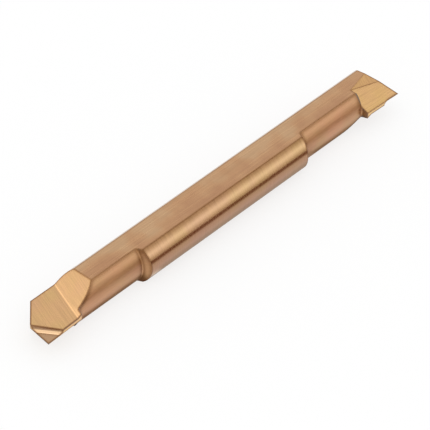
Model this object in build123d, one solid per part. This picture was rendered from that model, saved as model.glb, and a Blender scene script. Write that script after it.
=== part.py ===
from build123d import *
from math import atan2, cos, degrees, radians, sin, sqrt, tan
import os

# Double-ended solid carbide boring bar, ground from one round blank.
# The bar lies along X with its axis on the origin. Both ends carry the same
# ground head, half a turn about Y apart, so one rake face looks up (+Z) and the
# other looks down (-Z). Both cutting corners stand on the front (-Y) side at
# centre height. Lengths are in millimetres and angles in degrees.

# Round blank and its clamping flats
shank_diameter = 6.0
overall_length = 60.0
flat_depth = 0.55            # each flat lies this far below the round

# Necks, ground about an axis that is set back from the bar's own
shank_length = 26.8          # full round between the two necks
neck_relief = 0.95           # the front of a neck stands this far back
neck_radius = 3.5            # radius that a neck is ground to
shoulder_run = 0.6           # length of the slope from shank to neck
foot_run = 0.3               # length of the slope from neck to head
neck_corner_radius = 0.25    # hollow left by the wheel's corner at both ends

# Head, measured from the tip
head_length = 5.45           # the foot of the head reaches full height here
rake_height = 0.52           # rake face above the axis, on the centre line
rake_tilt = 2.3              # the rake face rises towards the back
gullet_start = 5.85          # crease between rake face and gullet
gullet_end = 8.8             # the gullet runs out in the flat here
gullet_skew = 20.0           # the crease lies out of square by this angle
gullet_hollow = 0.12         # depth of the gullet below its own chord
crease_radius = 0.8          # hollow left by the wheel's corner in the crease

# Cutting corner, back corner and chip breaker
back_corner_start = 3.33     # the back corner begins this far from the side edge
back_corner_angle = 45.0     # between the back corner's face and the axis
end_relief = 8.0             # the end cutting edge falls back towards the axis
side_relief = 1.8            # the side cutting edge falls back towards the neck
breaker_width = 2.0          # from the cutting corner square to the wall's foot
breaker_angle = 56.3         # between the breaker wall and the axis
breaker_depth = 0.04         # floor below centre height at the wall's foot
breaker_wall_angle = 78.0    # slope of the breaker wall
breaker_radius = 0.5         # hollow between wall and floor

# Clearance faces, all on the far side of the rake face
land_height = 0.08           # narrow land under the end cutting edge
land_clearance = 12.0        # angle of that land
end_fall = 1.56              # the end face has fallen back this far at the flat
side_land_height = 0.1       # round margin kept beyond centre height
side_clearance = 48.0        # angle of the face under the side cutting edge
heel_drop = 0.65             # the heel facet has fallen this far at the end face
heel_reach = 0.8             # it runs this far past the axis at the end face

# Places that follow from the sizes above
shank_radius = shank_diameter / 2
flat_z = shank_radius - flat_depth
tip_x = -overall_length / 2
head_x = tip_x + head_length
foot_x = head_x + foot_run
shank_end_x = -shank_length / 2
neck_axis_y = neck_radius + neck_relief - shank_radius
corner = Vector(tip_x, -shank_radius, 0)
reach = 2 * shank_diameter   # long enough to pass every face of the bar


def half_space(point, normal, start_x=tip_x - reach, stop_x=tip_x + reach):
    """Everything beyond a plane, kept between two stations along the bar."""
    beyond = Plane(point, z_dir=normal) * Box(
        4 * reach, 4 * reach, reach, align=(Align.CENTER, Align.CENTER, Align.MIN)
    )
    zone = Pos((start_x + stop_x) / 2, 0, 0) * Box(stop_x - start_x, 2 * reach, 2 * reach)
    return beyond & zone


def blank():
    """Round rod with two parallel flats along its whole length."""
    rod = Rotation(0, 90, 0) * Cylinder(shank_radius, overall_length)
    slab = Box(overall_length, shank_diameter, 2 * flat_z)
    return rod & slab


def neck_cut():
    """Ring swept about the set-back axis, so that it bites on the front side only."""
    shoulder_out = reach * shoulder_run / neck_relief
    foot_out = reach * foot_run / neck_relief
    shoulder_x = shank_end_x - shoulder_run
    with BuildSketch(Plane.XY) as ring:
        with BuildLine():
            Polyline(
                (shoulder_x, neck_radius),
                (shoulder_x + shoulder_out, neck_radius + reach),
                (foot_x - foot_out, neck_radius + reach),
                (foot_x, neck_radius),
                close=True,
            )
        make_face()
        floor_corners = ring.vertices().sort_by(Axis.Y)[:2]
        fillet(floor_corners, neck_corner_radius)
    return Pos(0, neck_axis_y, 0) * revolve(ring.sketch, Axis.X)


def rake_outline(y):
    """Outline of the rake and gullet cut in the upright plane at station y."""
    rake_z = rake_height + y * tan(radians(rake_tilt))
    crease_x = tip_x + gullet_start + y * tan(radians(gullet_skew))
    crease_point = Vector(crease_x, rake_z)
    run_out = Vector(tip_x + gullet_end, flat_z)
    chord = run_out - crease_point
    sag = Vector(chord.Y, -chord.X).normalized() * gullet_hollow
    with BuildSketch(Plane((0, y, 0), x_dir=(1, 0, 0), z_dir=(0, -1, 0))) as cut:
        with BuildLine():
            Line((tip_x - reach, rake_z), crease_point)
            gullet = ThreePointArc(crease_point, crease_point + chord / 2 + sag, run_out)
            lead_out = Line(run_out, run_out + (gullet % 1) * reach / (gullet % 1).Y)
            Polyline(lead_out @ 1, (tip_x - reach, (lead_out @ 1).Y), (tip_x - reach, rake_z))
        make_face()
        crease = cut.vertices().sort_by_distance((crease_x, rake_z, 0))[0]
        fillet(crease, crease_radius)
    return cut.sketch.face()


def rake_cut():
    """Rake face and gullet in one cut, ruled from its back outline to its front one."""
    return loft([rake_outline(shank_radius), rake_outline(-shank_radius)], ruled=True)


def breaker_cut():
    """Chip breaker across the cutting corner: steep wall, hollow and rising floor."""
    along = Vector(cos(radians(breaker_angle)), -sin(radians(breaker_angle)), 0)
    outward = Vector(-sin(radians(breaker_angle)), -cos(radians(breaker_angle)), 0)
    foot = corner - outward * breaker_width
    wall_top = reach / tan(radians(breaker_wall_angle))
    floor_slope = breaker_depth / breaker_width
    with BuildSketch(Plane(foot, x_dir=outward, z_dir=-along)) as section:
        with BuildLine():
            Polyline(
                (0, -breaker_depth),
                (reach, -breaker_depth + reach * floor_slope),
                (reach, reach),
                (-wall_top, reach),
                close=True,
            )
        make_face()
        hollow = section.vertices().sort_by(Axis.Y)[0]
        fillet(hollow, breaker_radius)
    return extrude(section.sketch, reach, both=True)


def back_corner_cut():
    """Upright face across the back corner of the head."""
    start = corner + Vector(tan(radians(end_relief)), 1, 0) * back_corner_start
    turn = radians(back_corner_angle)
    return half_space(start, (-sin(turn), cos(turn), 0))


def end_cuts():
    """End face: upright above centre height, then a narrow land, then a steep fall."""
    turn = radians(end_relief)
    land_fall = land_height * tan(radians(land_clearance))
    fall_angle = degrees(atan2(end_fall - land_fall, flat_z - land_height))
    land_foot = corner + Vector(land_fall, 0, -land_height)
    cuts = []
    for point, angle in ((corner, 0), (corner, land_clearance), (land_foot, fall_angle)):
        tilt = radians(angle)
        normal = (-cos(turn) * cos(tilt), sin(turn) * cos(tilt), -sin(tilt))
        cuts.append(half_space(point, normal))
    return cuts


def side_relief_cut():
    """Upright face that takes the side cutting edge back from the bar's round."""
    turn = radians(side_relief)
    return half_space(corner, (sin(turn), -cos(turn), 0), stop_x=foot_x)


def side_clearance_front():
    """Front edge of the side clearance face at the tip, where it leaves the margin."""
    return Vector(tip_x, -sqrt(shank_radius**2 - side_land_height**2), -side_land_height)


def side_clearance_cut():
    """Sloping face between the side margin and the far flat."""
    turn = radians(side_relief)
    tilt = radians(side_clearance)
    normal = (sin(turn) * cos(tilt), -cos(turn) * cos(tilt), -sin(tilt))
    return half_space(side_clearance_front(), normal, stop_x=foot_x)


def side_clearance_point(x, z):
    """Point of the side clearance face at a given station and height."""
    start = side_clearance_front()
    y = start.Y + (x - tip_x) * tan(radians(side_relief))
    y += (start.Z - z) * tan(radians(side_clearance)) / cos(radians(side_relief))
    return Vector(x, y, z)


def heel_cut():
    """Shallow facet that widens towards the tip between side clearance and flat."""
    narrow_end = side_clearance_point(foot_x, -flat_z)
    low_end = side_clearance_point(tip_x + end_fall, heel_drop - flat_z)
    far_end = Vector(tip_x + end_fall, heel_reach, -flat_z)
    normal = (low_end - narrow_end).cross(far_end - narrow_end).normalized()
    if normal.Z > 0:
        normal = -normal
    return half_space(narrow_end, normal, stop_x=foot_x)


def head_cuts():
    """Every cut of the left head, in the order in which it is ground."""
    return [
        neck_cut(),
        rake_cut(),
        breaker_cut(),
        back_corner_cut(),
        *end_cuts(),
        side_relief_cut(),
        side_clearance_cut(),
        heel_cut(),
    ]


def boring_bar():
    """The finished bar: the same cuts at both ends, half a turn about Y apart."""
    bar = blank()
    for cut in head_cuts():
        bar -= cut
        bar -= Rotation(0, 180, 0) * cut
    return bar.solid()


os.makedirs("parts", exist_ok=True)
bar = boring_bar()
bar.label = "boring_bar"
export_step(bar, "parts/boring_bar.step")
print("boring_bar", round(bar.volume, 1), "mm3", bar.bounding_box())
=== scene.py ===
# %% [markdown]
# # A double-ended boring bar
# The real bar is one rod of solid carbide, 6 mm thick and 60 mm long. Every face of it is ground,
# and a bronze-gold hard coat goes over the whole. The CAD model holds its exact shape. Here it
# gets its ground and coated finishes, its softened edges, and a small studio to stand in.

# %% Load the frame
import math

import bmesh
import bpy
import numpy as np
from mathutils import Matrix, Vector


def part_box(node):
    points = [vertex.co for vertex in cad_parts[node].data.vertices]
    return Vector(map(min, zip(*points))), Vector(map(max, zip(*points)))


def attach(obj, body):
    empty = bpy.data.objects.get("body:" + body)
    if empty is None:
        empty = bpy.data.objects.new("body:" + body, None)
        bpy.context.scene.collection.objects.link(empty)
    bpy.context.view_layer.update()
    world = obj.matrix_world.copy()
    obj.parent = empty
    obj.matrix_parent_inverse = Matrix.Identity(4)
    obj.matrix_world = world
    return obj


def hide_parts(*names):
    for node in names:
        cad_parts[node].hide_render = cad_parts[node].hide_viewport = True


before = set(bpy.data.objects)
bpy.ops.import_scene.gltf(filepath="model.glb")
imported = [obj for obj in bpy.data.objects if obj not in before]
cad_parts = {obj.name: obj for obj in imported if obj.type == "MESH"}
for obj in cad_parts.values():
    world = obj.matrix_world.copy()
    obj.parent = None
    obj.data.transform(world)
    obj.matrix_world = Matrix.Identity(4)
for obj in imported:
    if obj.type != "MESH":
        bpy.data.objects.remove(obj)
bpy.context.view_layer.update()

MM = 0.001
bar_low, bar_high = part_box("boring_bar")
print("bar, mm:", [round(v / MM, 3) for v in bar_high - bar_low])

# %% [markdown]
# ## The bar's own skin
# The bar could be modelled again here, but two models of one shape drift apart. So the visible
# bar is a copy of the CAD model's own mesh. That arrives as one patch of triangles for each face,
# and the patches don't share their edges, so the copy is merged into one closed skin. The
# direction that the CAD model gives to every corner is written down first and handed back
# afterwards, so that round faces stay truly round. Where two faces meet at more than a slight
# angle, a wheel has left a real edge.

# %% Merge a copy
SHARP = math.radians(16)     # a ground edge turns by more than this, a curved face by less
JOIN = 0.002 * MM            # corners closer than this are one corner

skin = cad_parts["boring_bar"].data.copy()
skin.name = "coated_bar"
skin.materials.clear()
true_normals = [tuple(corner.vector) for corner in skin.corner_normals]
work = bmesh.new()
work.from_mesh(skin)
kept = work.loops.layers.float_vector.new("true_normal")
corners = (loop for face in work.faces for loop in face.loops)
for loop, normal in zip(corners, true_normals):
    loop[kept] = normal
bmesh.ops.remove_doubles(work, verts=work.verts, dist=JOIN)
for face in work.faces:
    face.smooth = True
for edge in work.edges:
    edge.smooth = edge.calc_face_angle(0) < SHARP
print("faces in the skin:", len(work.faces))

# %% [markdown]
# ## Whole surfaces
# The finish belongs to a whole ground surface, not to a triangle. A surface is found by walking
# from face to face until a sharp edge stops the walk. The same could be done with a list of face
# numbers, but that list would break as soon as a size in the CAD model changes.

# %% Walk over the surfaces
def surfaces(mesh):
    """Lists of faces that run on into each other with no sharp edge between."""
    seen = set()
    for first in mesh.faces:
        if first in seen:
            continue
        seen.add(first)
        group, front = [], [first]
        while front:
            face = front.pop()
            group.append(face)
            for edge in face.edges:
                if edge.smooth:
                    fresh = [other for other in edge.link_faces if other not in seen]
                    seen.update(fresh)
                    front.extend(fresh)
        yield group


def centre_and_normal(group):
    """The middle of a surface, and its mean direction, which is short where it curves."""
    area = sum(face.calc_area() for face in group)
    centre = sum((face.calc_center_median() * face.calc_area() for face in group), Vector())
    normal = sum((face.normal * face.calc_area() for face in group), Vector())
    return centre / area, normal / area


print("surfaces:", sum(1 for group in surfaces(work)))

# %% [markdown]
# ## Which wheel ground which face
# The shank is ground round and round between wheels, the two flats lengthwise under a surface
# wheel, the necks lengthwise with a rounded wheel, and the heads face by face in a tool grinder.
# Each leaves fine lines in its own direction and a shine of its own, so each surface is named by
# where it lies and which way it looks. On a head, the rake face, the gullet and the chip breaker
# look one way and the clearance faces the other, and the two heads are turned over against each
# other. The hollow of the breaker, where a highlight is painted into the colour, is told from the
# breaker's floor.

# %% Name the finishes
FINISHES = ["shank", "flat", "neck", "rake", "breaker", "hollow_highlight", "relief"]
HEAD_START = 24.3 * MM       # the cutting heads lie beyond this, the necks before it

# How far up a surface looks: 1 is straight up, 0 is level, -1 is straight down
FLAT_LOOKS = 0.99            # more than this, or as far down: a flat; else the round shank
RAKE_SIDE_LOOKS = 0.75       # more than this: rake side of a head; less: a clearance face
RAKE_LOOKS = 0.96            # more than this: rake face and gullet; less: the chip breaker
WALL_LOOKS = 0.65            # the breaker's hollow lies between this, at the breaker's wall,
BREAKER_LOOKS = 0.985        # and this, at its floor


def wheel_of(group):
    """The name of the finish that a surface gets."""
    centre, normal = centre_and_normal(group)
    places = [face.calc_center_median().x for face in group]
    if min(places) < 0 < max(places):
        return "flat" if abs(normal.z) > FLAT_LOOKS else "shank"
    if abs(centre.x) < HEAD_START:
        return "neck"
    outward = math.copysign(1, centre.x)
    upward = -outward * normal.normalized().z
    if upward < RAKE_SIDE_LOOKS:
        return "relief"
    return "rake" if upward > RAKE_LOOKS else "breaker"


def finish_of(wheel, face):
    """The finish of one face of a surface."""
    # The breaker's hollow is set apart so that a painted highlight goes into its colour.
    in_highlight_hollow = wheel == "breaker" and WALL_LOOKS < abs(face.normal.z) < BREAKER_LOOKS
    return "hollow_highlight" if in_highlight_hollow else wheel


print("finishes:", FINISHES)

# %% [markdown]
# ## A map of the grinding lines
# The lines need a direction on every face. A UV map gives it: U runs along the wheel's path and V
# across it, both in millimetres, so that a pattern's scale can be read straight off a ruler. An
# automatic unwrap would be quicker, but it turns each patch as it fits best. On the round shank U
# goes round the axis. On the heads the lines of the rake face and the chip gullet run along the
# crease between them, and those of a clearance face lie level.

# %% Lay out the map
SHANK_RADIUS = 3.0           # these three are the CAD model's own sizes, in millimetres
NECK_RADIUS, NECK_AXIS_Y = 3.5, 1.45
SKEW = math.radians(20)      # the crease lies out of square by this angle
CREASE = Vector((math.sin(SKEW), math.cos(SKEW), 0))
CREASE_LOOKS = 0.85          # faces that look up or down by more have lines along the crease


def path_on_head(normal):
    """The wheel's direction over a face of a head."""
    level_line = normal.cross(Vector((0, 0, 1))).normalized()
    return CREASE if abs(normal.z) > CREASE_LOOKS else level_line


def map_point(wheel, point, path, across):
    """Place of a point along and across the wheel's path, in millimetres."""
    x, y, z = point / MM
    if wheel == "shank":
        return SHANK_RADIUS * math.atan2(y, z), x
    if wheel == "flat":
        return x, y
    if wheel == "neck":
        return x, NECK_RADIUS * math.atan2(y - NECK_AXIS_Y, z)
    return Vector((x, y, z)).dot(path), Vector((x, y, z)).dot(across)


grinding = work.loops.layers.uv.new("grinding")
count = dict.fromkeys(FINISHES, 0)
for group in surfaces(work):
    wheel = wheel_of(group)
    centre, normal = centre_and_normal(group)
    path = path_on_head(normal)
    across = normal.cross(path).normalized()
    for face in group:
        finish = finish_of(wheel, face)
        count[finish] += 1
        face.material_index = FINISHES.index(finish)
        for loop in face.loops:
            loop[grinding].uv = map_point(wheel, loop.vert.co, path, across)
print("faces by finish:", count)

# %% [markdown]
# ## The finished skin
# The corner directions come back from their layer as custom normals. The layer has done its work
# and is taken off, so that the mesh carries nothing but what it shows.

# %% Hand the true directions back
true_normals = [tuple(loop[kept]) for face in work.faces for loop in face.loops]
work.loops.layers.float_vector.remove(kept)
work.to_mesh(skin)
work.free()
skin.normals_split_custom_set(true_normals)
bar = bpy.data.objects.new("coated_bar", skin)
bpy.context.scene.collection.objects.link(bar)
print("triangles:", len(skin.polygons))

# %% [markdown]
# ## Small tools
# A shader is a chain of nodes. `add` puts one node down, sets its values and joins it to what
# feeds it. Colours are written as the hex values of a paint card, and `linear` turns them into
# the linear light that the renderer works in. `blank_material` starts a material from nothing.

# %% Helpers
def add(tree, kind, settings=None, **inputs):
    """Add one node; an input is a value, or the output socket that feeds it.

    Inputs go by name, with _ for a space, or by number, as in _0.
    """
    new = tree.nodes.new(kind)
    for key, value in (settings or {}).items():
        setattr(new, key, value)
    for key, value in inputs.items():
        name = key.replace("_", " ").strip()
        socket = new.inputs[int(name)] if name.isdigit() else new.inputs[name]
        if isinstance(value, bpy.types.NodeSocket):
            tree.links.new(value, socket)
        else:
            socket.default_value = value
    return new


def linear(code):
    """Linear RGBA of an sRGB hex colour."""
    parts = [int(code[i : i + 2], 16) / 255 for i in (0, 2, 4)]
    return (*[p / 12.92 if p <= 0.04045 else ((p + 0.055) / 1.055) ** 2.4 for p in parts], 1.0)


def blank_material(name):
    """A new material with no nodes in it."""
    material = bpy.data.materials.new(name)
    material.use_nodes = True
    material.node_tree.nodes.clear()
    return material


print("half grey is", round(linear("808080")[0], 3), "in linear light")

# %% [markdown]
# ## The coat's colour
# A bronze-gold nitride, a few thousandths of a millimetre thick, is laid over the ground carbide
# in a vacuum. Its thickness is never quite even, so the gold drifts a little towards rose and
# towards yellow over a few millimetres. One flat colour would look like paint. Soft noise in the
# bar's own space makes the drift. On the flats a lean from the front edge to the back is added to
# it: that is painted shade, darker at the front edge and lighter at the back.

# %% Colour drift
DRIFT_MM = 4.0               # the size of a patch in which the coat's colour drifts
DRIFT_STOPS = (0.32, 0.5, 0.68)    # values of the noise at rose, in between and at yellow


def drifting_coat(tree, tones, painted_shade_lean):
    """Colour of the coat; `painted_shade_lean` is the share of the drift gained for each
    millimetre of Y, painted shade that darkens the front and lightens the back.
    """
    place = add(tree, "ShaderNodeTexCoord")
    drift = add(
        tree,
        "ShaderNodeTexNoise",
        Vector=place.outputs["Object"],
        Scale=1 / (DRIFT_MM * MM),
        Detail=2.0,
        Roughness=0.55,
    )
    split = add(tree, "ShaderNodeSeparateXYZ", _0=place.outputs["Object"])
    # The lean along Y paints shade on the flats: darker at the front edge, lighter at the back.
    drift_and_painted_shade = add(
        tree,
        "ShaderNodeMath",
        {"operation": "MULTIPLY_ADD"},
        _0=split.outputs["Y"],
        _1=painted_shade_lean / MM,
        _2=drift.outputs["Fac"],
    )
    coat = add(tree, "ShaderNodeValToRGB", Fac=drift_and_painted_shade.outputs[0])
    coat.color_ramp.elements.new(DRIFT_STOPS[1])
    for stop, position, tone in zip(coat.color_ramp.elements, DRIFT_STOPS, tones):
        stop.position = position
        stop.color = linear(tone)
    return coat.outputs["Color"]


print("colour drifts over", DRIFT_MM, "mm")

# %% [markdown]
# ## Grinding lines
# The wheel's grains leave fine lines that show through the coat as a satin grain. Real lines are
# a few hundredths of a millimetre apart. Here they are drawn at 0.15 to 0.20 mm, so that they can
# be seen at all from where a hand would hold the bar. Noise stretched along U makes them: lines
# that start and stop, as real ones do, which a regular stripe pattern wouldn't.

# %% Lines
LINE_RANGE = (0.3, 0.7)      # nearly all the values of the noise lie between these


def grinding_lines(tree, line_mm, run_mm):
    """Height of the grinding lines; they are line_mm apart and about run_mm long."""
    ruler = add(tree, "ShaderNodeUVMap", {"uv_map": "grinding"})
    stretched = add(
        tree,
        "ShaderNodeMapping",
        Vector=ruler.outputs[0],
        Scale=(1 / run_mm, 1 / line_mm, 1.0),
    )
    lines = add(
        tree,
        "ShaderNodeTexNoise",
        {"noise_dimensions": "2D"},
        Vector=stretched.outputs[0],
        Scale=1.0,
        Detail=2.0,
        Roughness=0.6,
    )
    return lines.outputs["Fac"]


print("line heights run from", LINE_RANGE[0], "to", LINE_RANGE[1])

# %% [markdown]
# ## Rubbed edges, with painted shade
# Handling and clamping rub the coat thin along the edges, which then look browner, and at the
# sharpest points the grey carbide comes through. The same brown and grey are also painted shade:
# the dark lines that the metal mirrors along its edges, and the dark corners. The Bevel node
# tells
# how near an edge is: its direction turns away from the face's own as the edge comes closer, and
# further at a sharp one. A painted mask would do it too, but this one follows the shape by
# itself.

# %% Rubbed edges and painted edge shade
THIN_COAT_AND_SHADE = "8F6236"         # the brown of a coat that is nearly rubbed through, also painted shade along the edges
BARE_CARBIDE_AND_SHADE = "625D58"      # the grey of the carbide under it, also painted dark shade at the sharpest corners
BEVEL_SAMPLES = 8

# The two directions agree at 1. A tone sets in at the first value and is full at the second.
THIN_AND_SHADE_RANGE = (1.0, 0.975)
BARE_AND_SHADE_RANGE = (0.8, 0.55)


def rub_and_shade_edges(tree, coat, worn_and_shaded_mm):
    """The coat's colour, rubbed and painted darker as shade within worn_and_shaded_mm of an edge.
    """
    facing_out = add(tree, "ShaderNodeNewGeometry")
    rounded = add(tree, "ShaderNodeBevel", {"samples": BEVEL_SAMPLES}, Radius=worn_and_shaded_mm * MM)
    turned = add(
        tree,
        "ShaderNodeVectorMath",
        {"operation": "DOT_PRODUCT"},
        _0=rounded.outputs[0],
        _1=facing_out.outputs["Normal"],
    )
    colour = coat
    # The brown and the grey are partly rubbed coat and partly painted shade along the edges and
    # at sharp corners.
    for (start, stop), tone in ((THIN_AND_SHADE_RANGE, THIN_COAT_AND_SHADE), (BARE_AND_SHADE_RANGE, BARE_CARBIDE_AND_SHADE)):
        share = add(
            tree,
            "ShaderNodeMapRange",
            Value=turned.outputs["Value"],
            From_Min=start,
            From_Max=stop,
        )
        mixed = add(
            tree,
            "ShaderNodeMix",
            {"data_type": "RGBA"},
            _0=share.outputs[0],
            _6=colour,
            _7=linear(tone),
        )
        colour = mixed.outputs[2]
    return colour


print("rubbed tones:", THIN_COAT_AND_SHADE, BARE_CARBIDE_AND_SHADE)

# %% [markdown]
# ## Coated carbide
# To the eye the coat is a metal: its reflections are coloured, and there is nothing underneath.
# The lines change its colour and its shine a little and press a shallow bump. The edges are honed
# to a few hundredths of a millimetre. Such a rounding could be modelled with a Bevel modifier,
# but the short edges of the heads fold over under it, so a second Bevel node only turns the
# light there. A weak clear coat adds a softer, colourless sheen, as a film of oil does.

# %% One finish
HONE = 0.06 * MM             # how far an edge is rounded
LINE_TONE = 0.07             # how much darker or lighter a line makes the colour
LINE_SHINE = 0.04            # how much smoother or rougher


def coated_carbide(name, tones, roughness, line_mm, depth_mm, run_mm, worn_and_shaded_mm=0.35, painted_shade_lean=0.0):
    """Ground and coated carbide.

    tones: the coat's hex colours, from rose to yellow; the drift runs over them
    line_mm, depth_mm, run_mm: how far apart, how deep and how long the grinding lines are
    worn_and_shaded_mm: how far from an edge the coat is rubbed and painted darker as shade
    painted_shade_lean: painted shade, the share of the drift gained from the front (-Y) to the
    back (+Y), for each millimetre
    """
    material = blank_material("coated_carbide_" + name)
    tree = material.node_tree
    coat = rub_and_shade_edges(tree, drifting_coat(tree, tones, painted_shade_lean), worn_and_shaded_mm)
    lines = grinding_lines(tree, line_mm, run_mm)
    shade, satin = (
        add(
            tree,
            "ShaderNodeMapRange",
            Value=lines,
            From_Min=LINE_RANGE[0],
            From_Max=LINE_RANGE[1],
            To_Min=middle - swing,
            To_Max=middle + swing,
        )
        for middle, swing in ((1.0, LINE_TONE), (roughness, LINE_SHINE))
    )
    colour = add(
        tree, "ShaderNodeVectorMath", {"operation": "SCALE"}, _0=coat, Scale=shade.outputs[0]
    )
    honed = add(tree, "ShaderNodeBevel", {"samples": BEVEL_SAMPLES}, Radius=HONE)
    relief = add(
        tree,
        "ShaderNodeBump",
        Height=lines,
        Strength=1.0,
        Distance=depth_mm * MM,
        Normal=honed.outputs[0],
    )
    surface = add(
        tree,
        "ShaderNodeBsdfPrincipled",
        Base_Color=colour.outputs[0],
        Metallic=1.0,
        Roughness=satin.outputs[0],
        Normal=relief.outputs[0],
        Coat_Weight=0.4,
        Coat_Roughness=0.25,
    )
    add(tree, "ShaderNodeOutputMaterial", Surface=surface.outputs[0])
    return material


print("edges are honed to", HONE / MM, "mm")

# %% [markdown]
# ## Finish by finish
# One finish for the whole bar would hide how it was made, so each wheel's work gets its own
# numbers in the one recipe.
#
# - The shank is ground finest and shows the sharpest bands of light and dark.
# - The flats are a little more satin, with long lines. Their colour is painted as shade, rosier
#   and darker in front and yellower and lighter behind.
# - The necks come from a coarser wheel. They are the dullest part. Their edge band is the widest,
#   and it paints the dark bands beside the flats and at the shoulders as shade.
# - The rake face and the gullet are painted brighter, as light falls on them.
# - The chip breaker is painted a shade darker, as shade in its recess, and its hollow is painted
#   the brightest place of all, a painted highlight.
# - The clearance faces are painted the lightest and yellowest gold, as light falls on them.

# %% Dress the bar
RECIPES = {
    # tones from rose to yellow, roughness, then the lines: apart, deep and long, in mm
    "shank": (("B98D66", "BA8F64", "B99261"), 0.20, 0.15, 0.002, 4.0),
    "flat": (("B1835E", "BA8E66", "BF9972"), 0.24, 0.20, 0.002, 9.0),
    "neck": (("C08C62", "BD8D60", "B88F5C"), 0.42, 0.20, 0.004, 3.0),
    # The heads' tones are painted light and shade: rake and clearance faces lighter, the breaker
    # darker.
    "rake": (("CFA176", "CFA372", "CCA56F"), 0.22, 0.18, 0.002, 4.0),
    "breaker": (("B28C6A", "B28D6A", "B08E68"), 0.22, 0.18, 0.002, 4.0),
    # The hollow's near-white gold is a painted highlight.
    "hollow_highlight": (("F2C8A0", "F4CA9E", "F2CA9A"), 0.20, 0.18, 0.002, 4.0),
    "relief": (("DEB17C", "DFB47A", "DDB674"), 0.22, 0.18, 0.002, 4.0),
}
# The flats' lean paints shade, darker at the front edge and lighter at the back.
# The necks' wide edge band paints the dark bands beside the flats and at the shoulders as shade.
EXTRAS = {"flat": {"painted_shade_lean": 0.09}, "neck": {"worn_and_shaded_mm": 1.0}}

for name in FINISHES:
    bar.data.materials.append(coated_carbide(name, *RECIPES[name], **EXTRAS.get(name, {})))
    print("material:", bar.data.materials[-1].name)

# %% [markdown]
# ## Join the frame
# The dressed bar rides on the one body there is, and stands for the CAD node.

# %% Ride on the frame
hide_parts("boring_bar")
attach(bar, "root")
print("rides on root:", bar.name)

# %% [markdown]
# ## Camera
# It looks down on the bar from its front left, so the bar runs away to the upper right. A short
# lens close by would swell the near end. A long one far off keeps the two ends nearly one size.

# %% Camera
AZIMUTH = math.radians(-47.37)
ELEVATION = math.radians(41.0)
DISTANCE = 330.9 * MM
AIM = Vector((0.34, 0.0, -2.34)) * MM

outward = Vector(
    (
        math.sin(AZIMUTH) * math.cos(ELEVATION),
        -math.cos(AZIMUTH) * math.cos(ELEVATION),
        math.sin(ELEVATION),
    )
)
lens = bpy.data.cameras.new("camera")
lens.sensor_width = 36.0
lens.lens = 236.6
lens.clip_start = 0.01
camera = bpy.data.objects.new("camera", lens)
camera.location = AIM + outward * DISTANCE
camera.rotation_euler = outward.to_track_quat("Z", "Y").to_euler()
bpy.context.scene.collection.objects.link(camera)
bpy.context.scene.camera = camera
print("camera at, mm:", [round(v / MM, 1) for v in camera.location])

# %% [markdown]
# ## White paper
# The bar lies on a sheet of white paper. A sheet that only glows would be the whitest, but it
# would lose the bar's shadow, and plain paper alone would look grey. So, for the eye and for
# mirrors, most of the paper glows, and the rest takes the light and the shadow. It is clear from
# below, so that the underside can be looked at.

# %% White paper
GLOWING = 0.75               # the share of the paper that glows

paper = blank_material("white_paper")
tree = paper.node_tree
ray = add(tree, "ShaderNodeLightPath")
seen = ray.outputs["Is Camera Ray"]
for kind in ("Is Glossy Ray", "Is Transmission Ray"):
    either = add(
        tree, "ShaderNodeMath", {"operation": "MAXIMUM"}, _0=seen, _1=ray.outputs[kind]
    )
    seen = either.outputs[0]
share = add(tree, "ShaderNodeMath", {"operation": "MULTIPLY"}, _0=seen, _1=GLOWING)
sheet = add(tree, "ShaderNodeBsdfDiffuse", Color=linear("FFFFFF"))
glow = add(tree, "ShaderNodeEmission", Color=linear("FFFFFF"), Strength=1.0)
blend = add(
    tree, "ShaderNodeMixShader", _0=share.outputs[0], _1=sheet.outputs[0], _2=glow.outputs[0]
)
below = add(tree, "ShaderNodeNewGeometry")
clear = add(tree, "ShaderNodeBsdfTransparent")
one_sided = add(
    tree,
    "ShaderNodeMixShader",
    _0=below.outputs["Backfacing"],
    _1=blend.outputs[0],
    _2=clear.outputs[0],
)
add(tree, "ShaderNodeOutputMaterial", Surface=one_sided.outputs[0])
print("material:", paper.name)

# %% [markdown]
# ## Floor
# One large square is enough. It lies a hair under the bar, since two faces at the same height
# would flicker through each other.

# %% Floor
FLOOR = bar_low.z - 0.02 * MM    # this far under the bar, the two faces never meet
SIDE = 2.0                   # half of the floor's length, in metres

floor_mesh = bpy.data.meshes.new("floor")
floor_mesh.from_pydata(
    [(-SIDE, -SIDE, FLOOR), (SIDE, -SIDE, FLOOR), (SIDE, SIDE, FLOOR), (-SIDE, SIDE, FLOOR)],
    [],
    [(0, 1, 2, 3)],
)
floor_mesh.materials.append(paper)
floor = bpy.data.objects.new("floor", floor_mesh)
bpy.context.scene.collection.objects.link(floor)
print("floor at, mm:", round(FLOOR / MM, 2))

# %% [markdown]
# ## Room
# The room is one even white. It is the light on the bar as well as what the metal mirrors, at a
# strength at which a colour renders about as it is written. Lamps would put hard glints on metal.

# %% Room
room = bpy.data.worlds.new("white_room")
bpy.context.scene.world = room
room.use_nodes = True
room.node_tree.nodes.clear()
white = add(room.node_tree, "ShaderNodeBackground", Color=(1, 1, 1, 1), Strength=1.0)
add(room.node_tree, "ShaderNodeOutputWorld", Surface=white.outputs[0])
print("room:", room.name)

# %% [markdown]
# ## A board's light
# Polished metal shows little more than what stands round it, so its light and dark bands come
# from boards set up round it. Area lamps would do for the bright ones but not for the dark ones,
# and a lamp's rim is hard. These are glowing sheets whose rims fade out.

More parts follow.
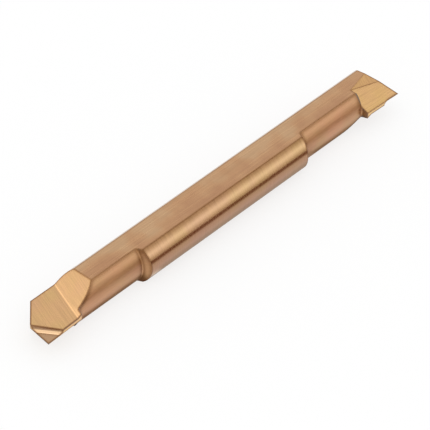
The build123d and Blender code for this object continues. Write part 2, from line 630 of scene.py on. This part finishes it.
# %% A board's light
def board_light(name, colour, strength, fade):
    """A glow; `fade` is the share of its width and height that fades out at each rim."""
    matter = blank_material(name)
    tree = matter.node_tree
    ruler = add(tree, "ShaderNodeUVMap", {"uv_map": "board"})
    split = add(tree, "ShaderNodeSeparateXYZ", _0=ruler.outputs[0])
    rims = []
    for output, share in zip(split.outputs, fade):
        # 0 at both rims and 0.5 in the middle
        inward = add(tree, "ShaderNodeMath", {"operation": "PINGPONG"}, _0=output, _1=0.5)
        rim = add(
            tree,
            "ShaderNodeMapRange",
            {"interpolation_type": "SMOOTHSTEP"},
            Value=inward.outputs[0],
            From_Max=share,
        )
        rims.append(rim.outputs[0])
    mask = add(tree, "ShaderNodeMath", {"operation": "MULTIPLY"}, _0=rims[0], _1=rims[1])
    clear = add(tree, "ShaderNodeBsdfTransparent")
    glow = add(tree, "ShaderNodeEmission", Color=linear(colour), Strength=strength)
    blend = add(
        tree, "ShaderNodeMixShader", _0=mask.outputs[0], _1=clear.outputs[0], _2=glow.outputs[0]
    )
    add(tree, "ShaderNodeOutputMaterial", Surface=blend.outputs[0])
    return matter


print("ready: board_light")

# %% [markdown]
# ## A board
# A board is one square face with a map from corner to corner, which its light reads. It is seen
# in the metal only: the eye and the floor don't see it, and it throws no shadow, so the room
# alone lights the floor.

# %% One board
def board(name, corners, colour, strength, fade):
    """A glowing board between four corners."""
    mesh = bpy.data.meshes.new(name)
    mesh.from_pydata(corners, [], [(0, 1, 2, 3)])
    sheet = mesh.uv_layers.new(name="board")
    for loop, corner in zip(sheet.data, ((0, 0), (1, 0), (1, 1), (0, 1))):
        loop.uv = corner
    mesh.materials.append(board_light(name, colour, strength, fade))
    piece = bpy.data.objects.new(name, mesh)
    bpy.context.scene.collection.objects.link(piece)
    piece.visible_camera = False
    piece.visible_diffuse = False
    piece.visible_shadow = False


print("ready: board")

# %% [markdown]
# ## Where a board can stand
# A band on a round bar is set by the angle of a board round the axis, so some boards hang there.
# Flat faces mirror one direction each, so others stand square to that direction. The lower part
# of the bar mirrors the floor close by, and thin sheets lie there, one just above the other.

# %% Places for boards
ROUND_REACH = 0.5            # how far from the axis a board round the bar hangs, in metres
LAYER = 0.1 * MM             # between one sheet on the floor and the next


def round_the_bar(start, stop, near_x, far_x):
    """Corners of a board between two angles round the bar, counted from overhead to the front."""
    (y0, z0), (y1, z1) = (
        (-ROUND_REACH * math.sin(math.radians(a)), ROUND_REACH * math.cos(math.radians(a)))
        for a in (start, stop)
    )
    return [(near_x, y0, z0), (far_x, y0, z0), (far_x, y1, z1), (near_x, y1, z1)]


def facing(direction, width, height, reach):
    """Corners of a board square to a direction from the bar."""
    ahead = Vector(direction).normalized()
    turn = ahead.to_track_quat("Z", "Y")
    return [
        ahead * reach + turn @ Vector((sx * width / 2, sy * height / 2, 0))
        for sx, sy in ((-1, -1), (1, -1), (1, 1), (-1, 1))
    ]


def on_the_floor(near_y, far_y, near_x, far_x, layer):
    """Corners of a sheet on the floor, in millimetres."""
    z = FLOOR + layer * LAYER
    y0, y1, x0, x1 = (v * MM for v in (near_y, far_y, near_x, far_x))
    return [(x0, y0, z), (x1, y0, z), (x1, y1, z), (x0, y1, z)]


overhead = round_the_bar(-10, 10, 0, 1)
print("a board overhead hangs at, m:", round(overhead[0][2], 3))

# %% [markdown]
# ## The boards
# - `top_flag` tones down the edge of the shank next to the flat, and `front_box` lights the band
#   in front of it.
# - `behind_box` lights the gullet, and `overhead_box` the crease between rake face and gullet.
# - `low_flag` is the dark line under the bright band, and `far_flag` softens its upper side.
# - `near_sheet` and the two neck sheets lift the lower part of the bar again.
# - `gap` and `shank_gap` are the shade right under the bar.

# %% Place the boards
# name, corners, colour, strength, fade; on_the_floor counts in millimetres, the rest in metres
BOARDS = (
    ("top_flag", round_the_bar(-10, 50, 0.05, 0.9), "CEC0B2", 1.0, (0.15, 0.25)),
    ("front_box", round_the_bar(47, 90, -0.1, 0.9), "E7F0FF", 2.0, (0.1, 0.5)),
    ("behind_box", facing((-0.45, 0.5, 0.74), 0.9, 0.8, 0.6), "FFFFFF", 1.22, (0.2, 0.2)),
    ("overhead_box", facing((0.0, 0.5, 0.86), 0.22, 0.4, 0.5), "FFFFFF", 1.85, (0.3, 0.3)),
    ("gap", on_the_floor(2.7, -2.7, -31, 31, 1), "8A7A6C", 1.0, (0.02, 0.12)),
    ("far_flag", on_the_floor(-24, -600, -300, 500, 2), "D4C8BE", 1.0, (0.05, 0.2)),
    ("near_sheet", on_the_floor(-2.7, -9, -100, 200, 3), "EBE8F8", 1.0, (0.05, 0.2)),
    ("low_flag", on_the_floor(-7.2, -31, -100, 200, 4), "84583A", 1.0, (0.05, 0.14)),
    ("neck_sheet_left", on_the_floor(-2.2, -7.5, -31, -13, 5), "E9EAF2", 1.3, (0.08, 0.25)),
    ("neck_sheet_right", on_the_floor(-2.2, -7.5, 17, 35, 5), "E9EAF2", 1.3, (0.08, 0.25)),
    ("shank_gap", on_the_floor(4.2, -4.2, -12.2, 16.8, 6), "BAAEA4", 1.0, (0.05, 0.2)),
)
for row in BOARDS:
    board(*row)
print("boards:", [row[0] for row in BOARDS])

# %% [markdown]
# ## Colours as they are written
# The Standard view shows each colour as it is written. The other views would bend the gold
# towards grey in its bright bands.

# %% View
view_settings = bpy.context.scene.view_settings
view_settings.view_transform = "Standard"
print("view:", view_settings.view_transform)
